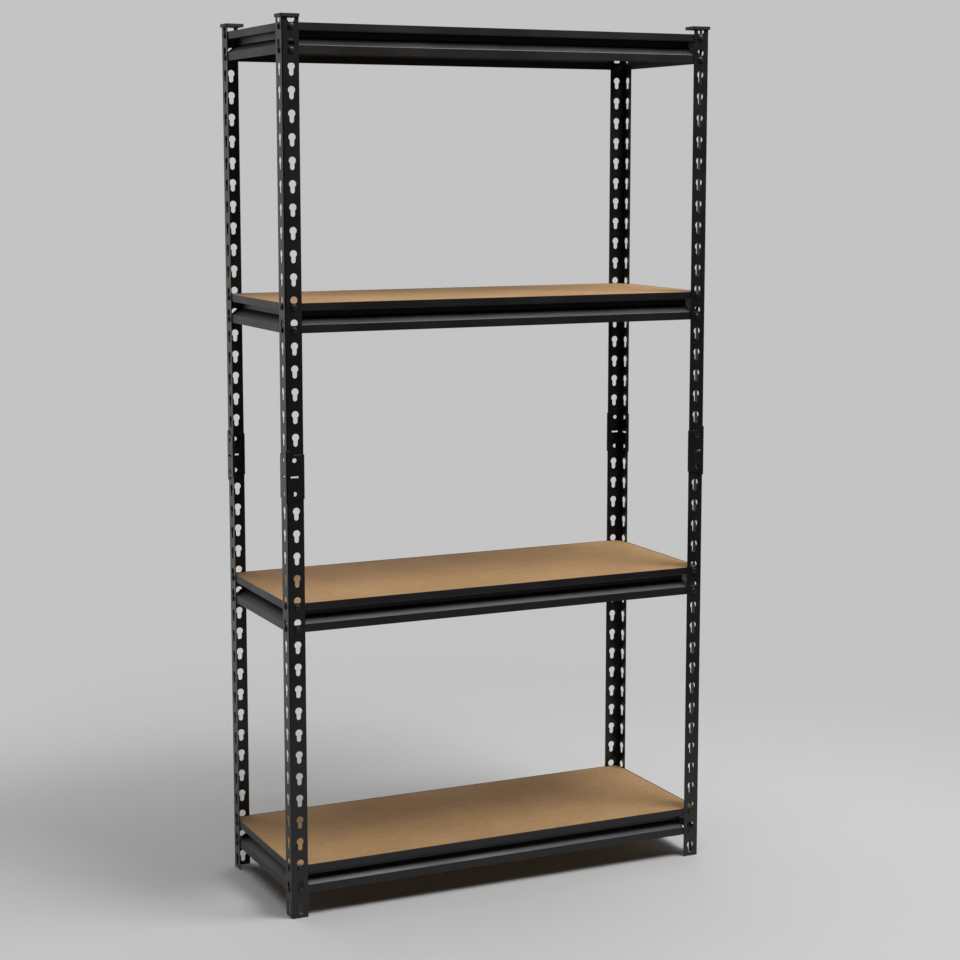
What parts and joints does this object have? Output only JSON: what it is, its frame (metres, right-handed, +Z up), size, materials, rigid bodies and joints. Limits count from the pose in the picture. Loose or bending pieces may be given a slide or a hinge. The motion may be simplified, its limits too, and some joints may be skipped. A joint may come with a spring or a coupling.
{
  "type": "boltless steel shelving",
  "caption": "Boltless steel shelving with keyhole-slotted angle posts, riveted step-profile beams and flush particle-board decks.",
  "frame": {"origin": "on the floor under the middle of the unit", "axes": "+Z up, X along the width, -Y the front"},
  "size_m": [0.8108, 0.3152, 1.5263],
  "materials": {
    "post_steel": "satin black powder coat with a fine orange-peel",
    "coupler_steel": "satin black powder coat",
    "beam_steel": "satin black powder coat with a fine orange-peel",
    "cap_plastic": "fine-textured black moulding",
    "deck_board": "bare particle board, sanded, with fine chips"
  },
  "bodies": {
    "frame": {"post_front_left_upper": "post_steel", "post_front_left_lower": "post_steel", "post_front_right_upper": "post_steel", "post_front_right_lower": "post_steel", "post_rear_right_upper": "post_steel", "post_rear_right_lower": "post_steel", "post_rear_left_upper": "post_steel", "post_rear_left_lower": "post_steel", "coupler_front_left": "coupler_steel", "coupler_front_right": "coupler_steel", "coupler_rear_right": "coupler_steel", "coupler_rear_left": "coupler_steel", "cap_front_left": "cap_plastic", "cap_front_right": "cap_plastic", "cap_rear_right": "cap_plastic", "cap_rear_left": "cap_plastic"},
    "level_top": {"beam_top_front": "beam_steel", "beam_top_right": "beam_steel", "beam_top_rear": "beam_steel", "beam_top_left": "beam_steel"},
    "board_top": {"deck_top": "deck_board"},
    "level_upper": {"beam_upper_front": "beam_steel", "beam_upper_right": "beam_steel", "beam_upper_rear": "beam_steel", "beam_upper_left": "beam_steel"},
    "board_upper": {"deck_upper": "deck_board"},
    "level_lower": {"beam_lower_front": "beam_steel", "beam_lower_right": "beam_steel", "beam_lower_rear": "beam_steel", "beam_lower_left": "beam_steel"},
    "board_lower": {"deck_lower": "deck_board"},
    "level_bottom": {"beam_bottom_front": "beam_steel", "beam_bottom_right": "beam_steel", "beam_bottom_rear": "beam_steel", "beam_bottom_left": "beam_steel"},
    "board_bottom": {"deck_bottom": "deck_board"}
  },
  "joints": [
    {"name": "level_top_lift", "type": "slide", "parent": "frame", "child": "level_top", "axis": [0, 0, 1], "range_m": [0, 0.004]},
    {"name": "deck_top_lift", "type": "slide", "parent": "level_top", "child": "board_top", "axis": [0, 0, 1], "range_m": [0, 0.003]},
    {"name": "level_upper_lift", "type": "slide", "parent": "frame", "child": "level_upper", "axis": [0, 0, 1], "range_m": [0, 0.0115]},
    {"name": "deck_upper_lift", "type": "slide", "parent": "level_upper", "child": "board_upper", "axis": [0, 0, 1], "range_m": [0, 0.15]},
    {"name": "level_lower_lift", "type": "slide", "parent": "frame", "child": "level_lower", "axis": [0, 0, 1], "range_m": [0, 0.0115]},
    {"name": "deck_lower_lift", "type": "slide", "parent": "level_lower", "child": "board_lower", "axis": [0, 0, 1], "range_m": [0, 0.15]},
    {"name": "level_bottom_lift", "type": "slide", "parent": "frame", "child": "level_bottom", "axis": [0, 0, 1], "range_m": [0, 0.0115]},
    {"name": "deck_bottom_lift", "type": "slide", "parent": "level_bottom", "child": "board_bottom", "axis": [0, 0, 1], "range_m": [0, 0.15]}
  ]
}
